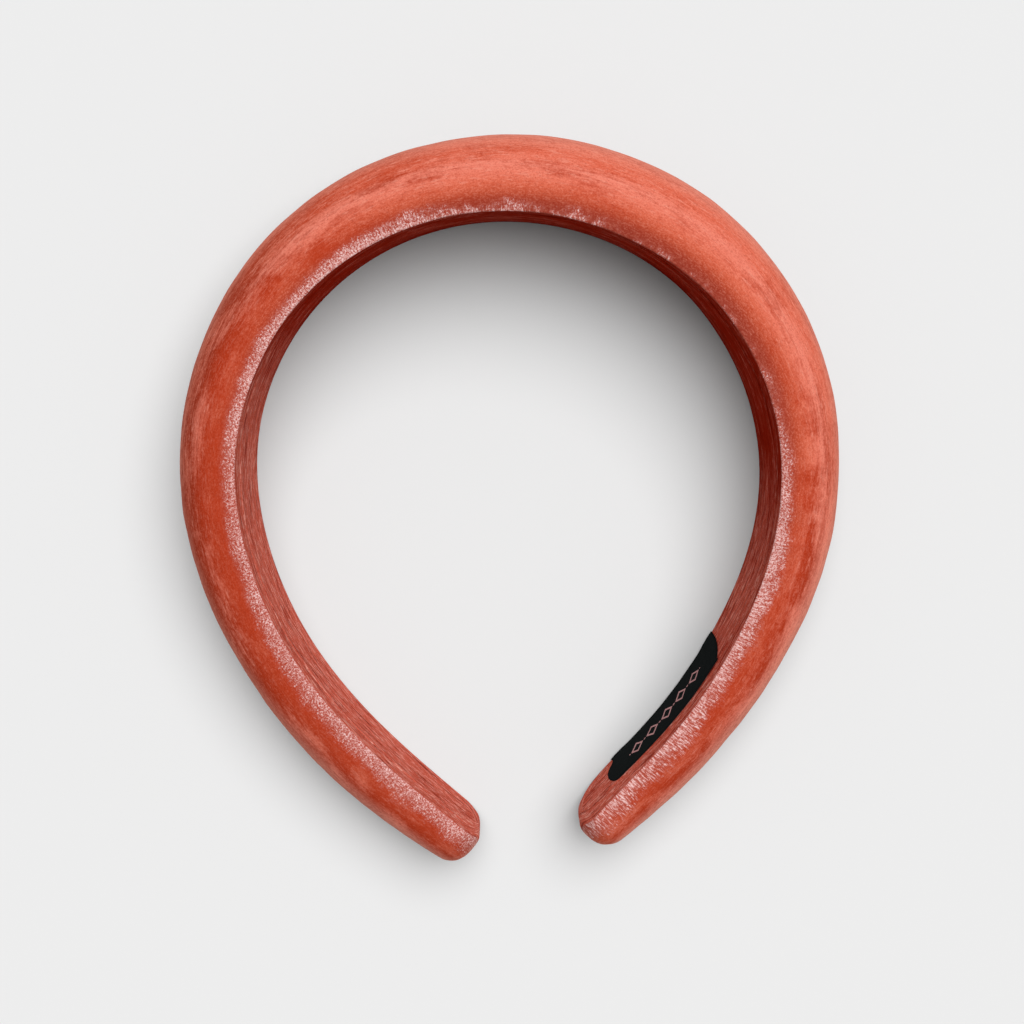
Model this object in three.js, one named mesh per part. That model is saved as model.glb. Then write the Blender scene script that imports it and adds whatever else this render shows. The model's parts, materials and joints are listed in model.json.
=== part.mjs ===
// Padded velvet headband.
// A bent plastic hoop carries a D-section foam pad. A velvet cover wraps the pad and folds over the
// hoop's edges onto the head side, a velvet lining strip lies between the two hems, and a woven
// label sits on the right leg. Millimetres, +Z up. The band lies on its lower edge with the crown
// towards +Y and the open ends towards -Y. It is symmetric about x = 0 apart from the label.
//
// The hoop flexes in its own plane, so every layer is divided at four flex lines, two on each side.
// The wedge gaps there give the pad room to compress as the legs open.
//
// Band coordinates: s runs along the head side from the crown (positive on the right, +X),
// outward is the distance from the head side and across is the height over the mid-plane.
import * as THREE from 'three';

const { degToRad } = THREE.MathUtils;

// ---- Driving dimensions ----------------------------------------------------------------------
const CROWN_RADIUS = 60; // head centre to the head side at the crown
const HALF_LENGTH = 192; // head side, crown centre to tip end
const WIDTH_AT_CENTRE = 31; // level with the head centre: 37 at the crown, 23 at the tips
const TILT = degToRad(2.83); // slope of the hoop's mid-plane, caused by the narrowing legs
const SINK = 0.35; // how far the lower edge flattens under the band's own weight

// Head-side outline: [s, curvature in 1/m]
const CURVATURE = [
  [0, 16.0], [40, 17.0], [75, 17.3], [100, 15.6], [118, 11.7],
  [136, 9.8], [156, 6.8], [190, 0], [200, 0],
];
// Head side to the top of the dome: [s, thickness]
const THICKNESS = [
  [0, 17.6], [31, 17.4], [52, 16.7], [73, 15.8], [94, 14.9],
  [115, 14.4], [138, 13.8], [162, 13.2], [178, 12.4], [192, 11.4],
];

const GAP = 0.3; // clearance between layers
const COVER_WALL = 0.9;
const DOME_POWER = 2.25; // superellipse power of the padded dome
const EDGE_RADIUS = 0.8; // turn of the velvet over the hoop's edge
const EDGE_MAX_SHARE = 0.3; // largest turn, as a share of the half width or the thickness
const EDGE_INSET = 0.29; // middle point of the turn, inset as a share of its radius
const LINING_SHARE = 0.52; // slot between the hems, as a share of the band width
const LINING_WALL = 0.8;
const LINING_CORNER = 0.25;
const HOOP_FACE = COVER_WALL + GAP; // hoop's head-side face, outward from the band's head side
const HOOP_WALL = 1.8;
const HOOP_EDGE_MARGIN = 1.6; // hoop edge to band edge
const HOOP_CORNER = 0.45;
const FOAM_FACE = HOOP_FACE + HOOP_WALL + GAP;
const FOAM_DOME_STEPS = 12;

// Tips. Lists give distances from the tip end.
const TIP_ROUND = { length: 9, power: 2.3 }; // rounding of the width
const TIP_ROUND_THICK = { length: 6, power: 2.8 }; // closing of the dome
const HOOP_TIP = [7.2, 5.6, 4];
const FOAM_TIP = [7.2, 5.6, 5];
const LINING_TIP = [7.2, 5.2];
const CAVITY_TIP = [7.2, 5.6, 4.4, 3.4]; // beyond the last one the cover is solid velvet
const SOLID_TIP = [2.4, 1.5, 0.8, 0.3, 0.06];
const LEG_STEPS = 15;

// Flex lines
const FLEX_UPPER = { s: 24, open: degToRad(11.0), close: degToRad(3.0) };
const FLEX_LOWER = { s: 68, open: degToRad(9.9), close: degToRad(2.7) };
const FLEX_DEPTH = HOOP_FACE + HOOP_WALL / 2; // flex axis, in the middle of the hoop strip
const FLEX_HALF_GAP = GAP / 2 + 0.02; // half of the gap at the flex axis
const FLEX_SPARE_ANGLE = 0.004; // radians added to each side of a wedge

const LABEL_START = 137; // s of the label's crown end
const LABEL_LENGTH = 40.5;
const LABEL_STEPS = 6;
const LABEL_START_WIDTH = 20.3;
const LABEL_END_WIDTH = 17.0;
const LABEL_FROM_EDGE = 0.8; // label's lower edge to the band's lower edge
const LABEL_WALL = 0.6;
const LABEL_CORNER = 1.0; // how far each edge draws in at the label's ends

// ---- Head-side curve -------------------------------------------------------------------------
// Linear interpolation in a table of [s, value] rows that starts at s = 0.
const lookUp = (table, s) => {
  const next = table.findIndex(([station], i) => i > 0 && s <= station);
  const [s0, value0] = table[next - 1];
  const [s1, value1] = table[next];
  return value0 + (value1 - value0) * ((s - s0) / (s1 - s0));
};

// Right half of the head side, in the hoop's tilted plane: x, forward (crown) and heading.
const PATH_STEP = 0.25;
const PATH_LENGTH = CURVATURE.at(-1)[0];
const path = [{ x: 0, forward: CROWN_RADIUS, heading: 0 }];
for (let i = 1; i * PATH_STEP <= PATH_LENGTH; i++) {
  const from = path[i - 1];
  const s = i * PATH_STEP;
  const meanPerMetre = (lookUp(CURVATURE, s) + lookUp(CURVATURE, s - PATH_STEP)) / 2;
  const heading = from.heading + (meanPerMetre / 1000) * PATH_STEP;
  path.push({
    x: from.x + ((Math.cos(heading) + Math.cos(from.heading)) / 2) * PATH_STEP,
    forward: from.forward - ((Math.sin(heading) + Math.sin(from.heading)) / 2) * PATH_STEP,
    heading,
  });
}

const pathAt = (s) => {
  const side = s < 0 ? -1 : 1;
  const position = Math.abs(s) / PATH_STEP;
  const i = Math.min(Math.floor(position), path.length - 2);
  const blend = (key) => path[i][key] + (path[i + 1][key] - path[i][key]) * (position - i);
  return { x: side * blend('x'), forward: blend('forward'), heading: side * blend('heading') };
};

// Leaves the lower edge SINK below z = 0, where the cover is flattened.
const LIFT = (WIDTH_AT_CENTRE / 2) * Math.cos(TILT) - SINK;

// Band coordinates to space. "along" moves the point on, straight along the heading.
const place = (s, outward, across, along = 0) => {
  const { x, forward, heading } = pathAt(s);
  const inPlane = forward + outward * Math.cos(heading) - along * Math.sin(heading);
  return new THREE.Vector3(
    x + outward * Math.sin(heading) + along * Math.cos(heading),
    inPlane * Math.cos(TILT) - across * Math.sin(TILT),
    inPlane * Math.sin(TILT) + across * Math.cos(TILT) + LIFT,
  );
};

// 1 along the band, falling on a superellipse towards 0 at the tip end.
const tipRounding = (s, { length, power }) => {
  const share = (Math.abs(s) - (HALF_LENGTH - length)) / length;
  return share <= 0 ? 1 : Math.pow(1 - Math.pow(share, power), 1 / power);
};
const unroundedHalfWidth = (s) => WIDTH_AT_CENTRE / 2 + Math.tan(TILT) * pathAt(s).forward;
const halfWidth = (s) => unroundedHalfWidth(s) * tipRounding(s, TIP_ROUND);
const thickness = (s) => lookUp(THICKNESS, Math.abs(s)) * tipRounding(s, TIP_ROUND_THICK);

// ---- Cross-sections at s, as loops of [outward, across] --------------------------------------
// Dome angles run from the upper edge (positive) over the top (0) to the lower edge.
const UPPER_DOME_ANGLES = [86, 78, 68, 57, 45, 32, 19, 6.5].map((angle) => degToRad(angle));
const DOME_ANGLES = [...UPPER_DOME_ANGLES, ...UPPER_DOME_ANGLES.map((angle) => -angle).reverse()];

const domePoint = (base, top, half, angle) => {
  const sine = Math.sin(angle);
  return [
    base + (top - base) * Math.pow(Math.cos(angle), 2 / DOME_POWER),
    half * Math.sign(sine) * Math.pow(Math.abs(sine), 2 / DOME_POWER),
  ];
};

// Outside of the cover, from the upper hem's end over the dome to the lower hem's end.
const coverOuter = (s) => {
  const half = halfWidth(s);
  const top = thickness(s);
  const radius = Math.min(EDGE_RADIUS, half * EDGE_MAX_SHARE, top * EDGE_MAX_SHARE);
  const inset = EDGE_INSET * radius;
  const upperEdge = [
    [0, half * LINING_SHARE], [0, half - radius], [inset, half - inset], [radius, half],
  ];
  return [
    ...upperEdge,
    ...DOME_ANGLES.map((angle) => domePoint(radius, top, half, angle)),
    ...upperEdge.map(([outward, across]) => [outward, -across]).reverse(),
  ];
};
const OUTER_COUNT = coverOuter(0).length;

// Inside of the cover, from the lower hem's end back to the upper hem's end.
const coverInner = (s) => {
  const hemEnd = halfWidth(s) * LINING_SHARE;
  const half = halfWidth(s) - COVER_WALL;
  const top = thickness(s) - COVER_WALL;
  return [
    [COVER_WALL, -hemEnd], [COVER_WALL, -half],
    ...DOME_ANGLES.map((angle) => domePoint(COVER_WALL, top, half, angle)).reverse(),
    [COVER_WALL, half], [COVER_WALL, hemEnd],
  ];
};

const coverLoop = (s) => [...coverOuter(s), ...coverInner(s)];

// The foam's dome is cut off flat at FOAM_FACE.
const foamLoop = (s) => {
  const top = thickness(s) - COVER_WALL - GAP;
  const half = halfWidth(s) - COVER_WALL - GAP;
  const cutShare = (FOAM_FACE - COVER_WALL) / (top - COVER_WALL);
  const start = Math.acos(Math.pow(cutShare, DOME_POWER / 2));
  return steps(start, -start, FOAM_DOME_STEPS)
    .map((angle) => domePoint(COVER_WALL, top, half, angle));
};

const hoopLoop = (s) => {
  const inner = HOOP_FACE;
  const outer = HOOP_FACE + HOOP_WALL;
  const edge = halfWidth(s) - HOOP_EDGE_MARGIN;
  const corner = HOOP_CORNER;
  return [
    [inner, edge - corner], [inner + corner, edge], [outer - corner, edge], [outer, edge - corner],
    [outer, -edge + corner], [outer - corner, -edge], [inner + corner, -edge],
    [inner, -edge + corner],
  ];
};

const liningLoop = (s) => {
  const edge = halfWidth(s) * LINING_SHARE - GAP;
  const corner = LINING_CORNER;
  return [
    [0, edge - corner], [corner, edge], [LINING_WALL, edge],
    [LINING_WALL, -edge], [corner, -edge], [0, -edge + corner],
  ];
};

// ---- Solids ----------------------------------------------------------------------------------
const steps = (from, to, count) =>
  Array.from({ length: count + 1 }, (_, i) => from + ((to - from) * i) / count);

const flexLines = [
  { ...FLEX_LOWER, s: -FLEX_LOWER.s },
  { ...FLEX_UPPER, s: -FLEX_UPPER.s },
  FLEX_UPPER,
  FLEX_LOWER,
];

// Half of the wedge gap at a flex line, which widens to both sides of the flex axis.
const wedgeHalfGap = (outward, { open, close }) => {
  const angle = outward > FLEX_DEPTH ? open : close;
  return FLEX_HALF_GAP + Math.abs(outward - FLEX_DEPTH) * Math.tan(angle / 2 + FLEX_SPARE_ANGLE);
};

// A placed loop. trim is 0, or at a flex line the direction (1 or -1) in which it is cut back.
// flat presses the points below z = 0 up to the ground.
const ringAt = (s, loop, { trim = 0, flat = false } = {}) => {
  const line = flexLines.find((flexLine) => flexLine.s === s);
  return loop.map(([outward, across]) => {
    const point = place(s, outward, across, trim ? trim * wedgeHalfGap(outward, line) : 0);
    if (flat) point.z = Math.max(point.z, 0);
    return point;
  });
};

// Positive or negative by the loop's own direction.
const signedArea = (loop) => loop.reduce((sum, [x, y], i) => {
  const [nextX, nextY] = loop[(i + 1) % loop.length];
  return sum + x * nextY - nextX * y;
}, 0) / 2;

// Triangles that fill a loop, each running the same way round as the loop itself.
const capTriangles = (loop) => {
  const direction = Math.sign(signedArea(loop));
  const contour = loop.map(([x, y]) => new THREE.Vector2(x, y));
  return THREE.ShapeUtils.triangulateShape(contour, []).map(([i, j, k]) => (
    Math.sign(signedArea([loop[i], loop[j], loop[k]])) === direction ? [i, j, k] : [i, k, j]
  ));
};

class Builder {
  points = [];
  index = [];

  addRing(ring) {
    const base = this.points.length;
    this.points.push(...ring);
    return ring.map((_, i) => base + i);
  }

  // Closed band of faces between two rings with the same count.
  wall(from, to) {
    for (let i = 0; i < from.length; i++) {
      const j = (i + 1) % from.length;
      this.index.push(from[i], to[i], to[j], from[i], to[j], from[j]);
    }
  }

  startCap(ids, loop) {
    for (const [i, j, k] of capTriangles(loop)) this.index.push(ids[i], ids[j], ids[k]);
  }

  endCap(ids, loop) {
    for (const [i, j, k] of capTriangles(loop)) this.index.push(ids[i], ids[k], ids[j]);
  }

  // Six times the enclosed volume, negative when the faces look inwards.
  signedVolume() {
    let volume = 0;
    for (let i = 0; i < this.index.length; i += 3) {
      const [a, b, c] = [0, 1, 2].map((corner) => this.points[this.index[i + corner]]);
      volume += a.dot(new THREE.Vector3().crossVectors(b, c));
    }
    return volume;
  }

  geometry() {
    const { index } = this;
    if (this.signedVolume() < 0) {
      for (let i = 0; i < index.length; i += 3) {
        [index[i + 1], index[i + 2]] = [index[i + 2], index[i + 1]];
      }
    }
    const geometry = new THREE.BufferGeometry();
    const positions = this.points.flatMap(({ x, y, z }) => [x, y, z]);
    geometry.setAttribute('position', new THREE.Float32BufferAttribute(positions, 3));
    geometry.setIndex(index);
    geometry.computeVertexNormals();
    return geometry;
  }
}

// A closed solid from one cross-section at each station.
const sweep = (stations, loopFor, { trimStart = 0, trimEnd = 0, flat = false } = {}) => {
  const builder = new Builder();
  const trims = stations.map(() => 0);
  trims[0] = trimStart;
  trims[trims.length - 1] = trimEnd;
  const rings = stations.map((s, i) => {
    const loop = loopFor(s, i);
    return { loop, ids: builder.addRing(ringAt(s, loop, { trim: trims[i], flat })) };
  });
  for (let i = 1; i < rings.length; i++) builder.wall(rings[i - 1].ids, rings[i].ids);
  builder.startCap(rings[0].ids, rings[0].loop);
  builder.endCap(rings.at(-1).ids, rings.at(-1).loop);
  return builder.geometry();
};

// Stations from the lower flex line down a leg, ending at the given distances from the tip end.
const legStations = (tipDistances) => [
  ...steps(FLEX_LOWER.s, HALF_LENGTH - TIP_ROUND.length, LEG_STEPS),
  ...tipDistances.map((distance) => HALF_LENGTH - distance),
];

// A leg's layer. s rises along the sweep, so the left leg runs from its tip to the flex line.
const legSweep = (side, loopFor, tipDistances) => {
  const stations = legStations(tipDistances);
  return side > 0
    ? sweep(stations, loopFor, { trimStart: 1 })
    : sweep(stations.map((s) => -s).reverse(), loopFor, { trimEnd: -1 });
};

// A leg's cover: a C-section past the hoop's end, then solid velvet that rounds off to the tip.
const legCover = (side) => {
  const builder = new Builder();
  let ids;
  let loop;
  legStations(CAVITY_TIP).forEach((s, i) => {
    const previous = ids;
    loop = coverLoop(s);
    ids = builder.addRing(ringAt(side * s, loop, { trim: i === 0 ? side : 0, flat: true }));
    if (previous) builder.wall(previous, ids);
    else builder.startCap(ids, loop);
  });

  // End wall of the cavity that the hoop and the foam lie in.
  const cavityEnd = (ring) => [...ring.slice(OUTER_COUNT), ring[0], ring[OUTER_COUNT - 1]];
  builder.endCap(cavityEnd(ids), cavityEnd(loop));

  ids = ids.slice(0, OUTER_COUNT);
  for (const distance of SOLID_TIP) {
    const s = HALF_LENGTH - distance;
    const previous = ids;
    loop = coverOuter(s);
    ids = builder.addRing(ringAt(side * s, loop, { flat: true }));
    builder.wall(previous, ids);
  }
  builder.endCap(ids, loop);
  return builder.geometry();
};

// Woven label, GAP clear of the head side of the right leg, drawn in at both ends.
const label = () => {
  const top = -GAP - LABEL_WALL;
  const bottom = -GAP;
  const loopFor = (s, i) => {
    const low = -unroundedHalfWidth(s) + LABEL_FROM_EDGE;
    const share = (s - LABEL_START) / LABEL_LENGTH;
    const high = low + LABEL_START_WIDTH + (LABEL_END_WIDTH - LABEL_START_WIDTH) * share;
    const inset = i === 0 || i === LABEL_STEPS ? LABEL_CORNER : 0;
    return [
      [top, high - inset], [bottom, high - inset], [bottom, low + inset], [top, low + inset],
    ];
  };
  return sweep(steps(LABEL_START, LABEL_START + LABEL_LENGTH, LABEL_STEPS), loopFor);
};

// ---- Assembly --------------------------------------------------------------------------------
const VELVET = { color: 0xc9553f, roughness: 0.85, metalness: 0 };
const LINING = { color: 0xb2452f, roughness: 0.9, metalness: 0 };
const FOAM = { color: 0xe9dfc4, roughness: 0.95, metalness: 0 };
const PLASTIC = { color: 0x26262a, roughness: 0.45, metalness: 0 };
const LABEL = { color: 0x151815, roughness: 0.6, metalness: 0 };

const band = new THREE.Group();
const add = (name, geometry, look) => {
  const mesh = new THREE.Mesh(geometry, new THREE.MeshStandardMaterial(look));
  mesh.name = name;
  band.add(mesh);
};

const segments = [
  { place: 'crown', from: -FLEX_UPPER.s, to: FLEX_UPPER.s, count: 8 },
  { place: 'left_shoulder', from: -FLEX_LOWER.s, to: -FLEX_UPPER.s, count: 7 },
  { place: 'right_shoulder', from: FLEX_UPPER.s, to: FLEX_LOWER.s, count: 7 },
];
const layers = [
  {
    name: 'core_hoop', look: PLASTIC, loopFor: hoopLoop,
    leg: (side) => legSweep(side, hoopLoop, HOOP_TIP),
  },
  {
    name: 'foam_pad', look: FOAM, loopFor: foamLoop,
    leg: (side) => legSweep(side, foamLoop, FOAM_TIP),
  },
  { name: 'velvet_cover', look: VELVET, loopFor: coverLoop, leg: legCover, flat: true },
  {
    name: 'velvet_lining', look: LINING, loopFor: liningLoop,
    leg: (side) => legSweep(side, liningLoop, LINING_TIP),
  },
];

for (const segment of segments) {
  const stations = steps(segment.from, segment.to, segment.count);
  for (const { name, look, loopFor, flat } of layers) {
    const geometry = sweep(stations, loopFor, { trimStart: 1, trimEnd: -1, flat });
    add(`${name}_${segment.place}`, geometry, look);
  }
}
for (const side of [-1, 1]) {
  const legName = side < 0 ? 'left_leg' : 'right_leg';
  for (const { name, look, leg } of layers) add(`${name}_${legName}`, leg(side), look);
}
add('woven_label', label(), LABEL);

// Origin: the middle of the band's box in Y, on the surface it lies on.
const box = new THREE.Box3().setFromObject(band);
const shiftY = -(box.min.y + box.max.y) / 2;
for (const mesh of band.children) mesh.geometry.translate(0, shiftY, 0);

// Flex axes, head centre and band coordinates, for whoever poses the band.
const axis = [0, -Math.sin(TILT), Math.cos(TILT)];
band.userData.flex = flexLines.map(({ s }) => {
  const { x, y, z } = place(s, FLEX_DEPTH, 0);
  return { s, pos: [x, y + shiftY, z], axis };
});
band.userData.headCentreY = shiftY;
band.userData.point = (s, outward, across) => {
  const { x, y, z } = place(s, outward, across);
  return [x, y + shiftY, Math.max(z, 0)];
};

export default band;
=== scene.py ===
"""A padded velvet headband lying on its lower edge.

The band arches in the XY plane: the middle of the crown is at +Y, the left leg runs down the -X
side and the right leg down the +X side, with both tips toward -Y. Z is up, across the band.
Shapes are worked out in millimetres and written in metres.
"""
import json
import math
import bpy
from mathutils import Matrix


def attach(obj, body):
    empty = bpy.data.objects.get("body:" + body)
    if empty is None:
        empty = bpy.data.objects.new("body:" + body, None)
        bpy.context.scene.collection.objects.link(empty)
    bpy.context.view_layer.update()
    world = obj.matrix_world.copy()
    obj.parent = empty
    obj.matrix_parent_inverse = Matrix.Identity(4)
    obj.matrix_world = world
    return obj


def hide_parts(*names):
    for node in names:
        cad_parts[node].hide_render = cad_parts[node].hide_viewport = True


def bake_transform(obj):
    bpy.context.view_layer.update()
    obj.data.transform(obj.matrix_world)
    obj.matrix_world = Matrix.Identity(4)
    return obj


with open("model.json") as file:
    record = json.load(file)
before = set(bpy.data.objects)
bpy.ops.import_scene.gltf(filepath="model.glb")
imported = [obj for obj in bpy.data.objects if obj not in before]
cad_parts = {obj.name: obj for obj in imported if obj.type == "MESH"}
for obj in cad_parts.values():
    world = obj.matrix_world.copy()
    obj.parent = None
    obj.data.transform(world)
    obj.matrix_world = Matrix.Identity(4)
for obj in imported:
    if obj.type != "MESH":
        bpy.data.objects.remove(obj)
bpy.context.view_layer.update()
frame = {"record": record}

from types import SimpleNamespace

import bpy
import numpy as np
from mathutils import Matrix, Vector

MM = 0.001

# ---------------------------------------------------------------------------
# Driving dimensions (mm)
# ---------------------------------------------------------------------------
CROWN_RADIUS = 60.0            # reach of the centre line at the middle of the crown
WIDTH_AT_CENTRE = 31.0
TILT = math.radians(2.83)
SINK = 0.35                    # how far the band settles into the surface
LIFT = WIDTH_AT_CENTRE / 2 * math.cos(TILT) - SINK
DOME_POWER = 2.25              # power of the superellipse across the pad
WALL = 0.9                     # thickness of the cover
EDGE_R = 0.45                  # fold of the cover along the band's edges
HOOP_FACE, HOOP_WALL = 1.2, 1.8
FLEX_DEPTH = HOOP_FACE + HOOP_WALL / 2
SPLIT = 46.0                   # arc length where the upper and lower pieces of a side meet
LINING_SHARE = 0.52            # share of the band's width under the lining
LINING_GAP = 3.6               # from the end of the lining to the tip
FOAM_BASE = 0.9                # depth the foam's dome is measured from
FOAM_INSET = WALL + 0.35

# Bend of the centre line: (arc length from the middle of the crown in mm, curvature in 1/m)
CURVATURE = np.array([
    (0, 16.0), (40, 17.0), (75, 17.3), (100, 15.6), (118, 11.7), (136, 9.8), (156, 6.8),
    (190, 0), (210, 0)])

# What differs between the legs. Tables are (arc length, mm): thick is the pad's outer depth,
# drift moves the whole section outward, lean moves its upper edge outward.
# up, low, thin and face round off the tip: (length in mm, power) of the upper and lower
# outline, the outer side and the head side. tip_w shifts the tip across the band and mid is
# the depth it closes on.
SIDES = {
    -1: dict(
        name="left", end=194.1,
        thick=[
            (0, 17.58), (10, 17.35), (20, 17.4), (31, 17.15), (42, 16.65), (52, 16.1),
            (63, 15.4), (73, 15.0), (84, 14.8), (94, 14.5), (105, 14.35), (115, 14.05),
            (126, 13.7), (138, 13.65), (149, 13.6), (162, 13.5), (175, 12.95), (184, 12.2),
            (190, 11.3), (197, 10.6)],
        drift=[
            (0, -0.12), (10, -0.07), (30, 0.0), (50, -0.02), (64, -0.1), (80, -0.12),
            (94, -0.4), (105, -0.52), (118, -0.4), (132, -0.18), (148, -0.16), (165, -0.26),
            (180, -0.33), (200, -0.33)],
        lean=[(0, -0.18), (25, -0.12), (40, 0.0), (90, 0.0), (200, 0.0)],
        up=(8.0, 2.05), low=(7.0, 2.2), tip_w=-1.4, thin=(5.0, 2.3), face=(3.0, 2.0), mid=5.0),
    1: dict(
        name="right", end=190.5,
        thick=[
            (0, 17.58), (10, 17.9), (20, 17.85), (31, 17.8), (42, 17.55), (52, 17.3),
            (63, 17.1), (73, 16.75), (84, 15.95), (94, 15.15), (105, 14.85), (115, 14.7),
            (126, 14.4), (138, 14.05), (149, 13.65), (162, 13.1), (172, 12.5), (180, 11.9),
            (186, 11.0), (190, 10.2), (197, 9.4)],
        drift=[
            (0, -0.12), (8, -0.2), (20, -0.22), (30, -0.1), (50, 0.0), (63, -0.28),
            (80, -0.1), (95, 0.22), (108, 0.24), (120, 0.08), (132, -0.2), (150, -0.12),
            (166, -0.14), (175, -0.40), (182, -0.42), (188, -0.08), (200, 0.2)],
        lean=[
            (0, -0.18), (12, -0.22), (24, -0.40), (34, -0.42), (43, -0.26), (51, 0.04),
            (61, 0.28), (73, 0.38), (82, 0.20), (90, -0.04), (97, -0.26), (109, -0.30),
            (120, -0.2), (130, -0.06), (140, 0.08), (150, 0.20), (166, 0.26), (175, 0.50),
            (184, 0.72), (200, 0.60)],
        up=(7.5, 2.1), low=(13.0, 2.0), tip_w=1.4, thin=(5.5, 2.2), face=(3.0, 2.0), mid=4.4),
}

# ---------------------------------------------------------------------------
# Centre line
# ---------------------------------------------------------------------------
ARC_STEP = 0.25
ARC = np.arange(0, 205 + ARC_STEP / 2, ARC_STEP)


def integral(values):
    """Running trapezoid sum along ARC."""
    return np.r_[0, np.cumsum((values[1:] + values[:-1]) / 2 * ARC_STEP)]


TURN = integral(np.interp(ARC, CURVATURE[:, 0], CURVATURE[:, 1]) / 1000)
LINE_X = integral(np.cos(TURN))
LINE_REACH = CROWN_RADIUS - integral(np.sin(TURN))


def in_band_plane(arc, depth):
    """Sideways place and reach toward the crown of a point a depth outward of the line."""
    turn = np.interp(arc, ARC, TURN)
    x = np.interp(arc, ARC, LINE_X) + depth * np.sin(turn)
    return x, np.interp(arc, ARC, LINE_REACH) + depth * np.cos(turn)


# The origin is the middle of the product's box, so a recorded flex axis gives the shift in Y.
joints = {joint["name"]: joint for joint in frame["record"]["behaviour"]["joints"]}
pivot = [c / MM for c in joints["right_flex_upper"]["pos_m"]]
pivot_arc = ARC[np.argmin(np.abs(LINE_X + FLEX_DEPTH * np.sin(TURN) - pivot[0]))]
SHIFT_Y = pivot[1] - float(in_band_plane(pivot_arc, FLEX_DEPTH)[1] * math.cos(TILT))


def place(side, arc, depth, height):
    """Point (mm) from arc length, depth outward from the head side and height across the band."""
    arc, depth, height = np.broadcast_arrays(
        *(np.asarray(v, float) for v in (arc, depth, height)))
    x, reach = in_band_plane(arc, depth)
    return np.stack([
        side * x,
        reach * math.cos(TILT) - height * math.sin(TILT) + SHIFT_Y,
        reach * math.sin(TILT) + height * math.cos(TILT) + LIFT], -1)


def half_width(arc):
    return WIDTH_AT_CENTRE / 2 + math.tan(TILT) * np.interp(arc, ARC, LINE_REACH)


def smooth(start, stop, x):
    """Smoothstep from 0 at start to 1 at stop."""
    t = np.clip((np.asarray(x, float) - start) / (stop - start), 0, 1)
    return t * t * (3 - 2 * t)


def rounding(arc, end, length, power):
    """1 along the band, falling to 0 at the end in a superellipse of this length."""
    u = np.clip((np.asarray(arc, float) - (end - length)) / length, 0, 1)
    return np.power(1 - np.power(u, power), 1 / power)


class Waves:
    """A smooth, seeded, zero-mean field over two lengths, as a sum of plane waves."""

    def __init__(self, seed, length_a, length_b, count=14, spread=0.6):
        draw = np.random.default_rng(seed).random

        def frequency(length):
            return 2 * math.pi / (length * (1 + spread * (draw(count) * 2 - 1)))

        self.frequency_a = frequency(length_a) * np.sign(draw(count) - 0.5)
        self.frequency_b = frequency(length_b)
        self.phase = draw(count) * 2 * math.pi
        self.size = (0.5 + draw(count)) / math.sqrt(count / 2)

    def __call__(self, a, b):
        a, b = np.broadcast_arrays(np.asarray(a, float), np.asarray(b, float))
        waves = zip(self.size, self.frequency_a, self.frequency_b, self.phase)
        return sum(size * np.cos(fa * a + fb * b + phase) for size, fa, fb, phase in waves)


LEVEL = 1e6                        # wavelength so long that the field does not change that way
SWELL = Waves(11, 46, 38)          # slow swelling of the foam
DIMPLE = Waves(12, 13, 17)         # the foam under the pile
CREASE_WANDER = Waves(13, 31, LEVEL)
CREASE_FINE = Waves(14, 6.5, LEVEL)
HEM_WANDER = Waves(15, 24, LEVEL)
GATHER = Waves(16, LEVEL, 4.6, count=9, spread=0.35)
LINING_WAVE = Waves(17, 19, 14)

# ---------------------------------------------------------------------------
# Cross-sections, vectorised over the arc length
# ---------------------------------------------------------------------------
EASE_OFFSETS = np.linspace(-9, 9, 13)
EASE_WEIGHTS = np.cos(EASE_OFFSETS / 9.5 * math.pi / 2) ** 2
EASE_WEIGHTS = EASE_WEIGHTS / EASE_WEIGHTS.sum()


def eased(key, side, arc):
    """A side's table, eased along the band; past the crown it runs on into the other side's."""
    own, other = (np.array(SIDES[k][key], float).T for k in (side, -side))
    return sum(
        weight * np.where(arc + d >= 0, np.interp(arc + d, *own), np.interp(-(arc + d), *other))
        for weight, d in zip(EASE_WEIGHTS, EASE_OFFSETS))


def section(side, arc):
    """Centre height, half widths above and below it, and depths of the top and bottom."""
    spec = SIDES[side]
    end, mid = spec["end"], spec["mid"]
    half = half_width(arc)
    centre = spec["tip_w"] * smooth(150, end, arc)
    up = (half - centre) * rounding(arc, end, *spec["up"])
    low = (half + centre) * rounding(arc, end, *spec["low"])
    drift = eased("drift", side, arc)
    top = mid + (eased("thick", side, arc) - mid) * rounding(arc, end, *spec["thin"])
    bottom = mid * (1 - rounding(arc, end, *spec["face"]))
    return centre, up, low, top + drift, bottom + drift


def upper_lean(side, arc):
    """How far the upper crease leans out of line, away from the head."""
    end = SIDES[side]["end"]
    return eased("lean", side, arc) * smooth(end, end - 6, arc)


def edge_radius(side, arc, top, bottom):
    """The fold over the hoop's edge is tight along the band and opens out at the tip."""
    end = SIDES[side]["end"]
    return np.minimum(EDGE_R + 2.4 * smooth(end - 7.0, end - 1.0, arc), (top - bottom) * 0.42)


def superellipse(angle):
    """Outward and sideways parts of the pad's outline."""
    side_part = np.sin(angle)
    return (np.power(np.clip(np.cos(angle), 0, None), 2 / DOME_POWER),
            np.sign(side_part) * np.power(np.abs(side_part), 2 / DOME_POWER))


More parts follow.
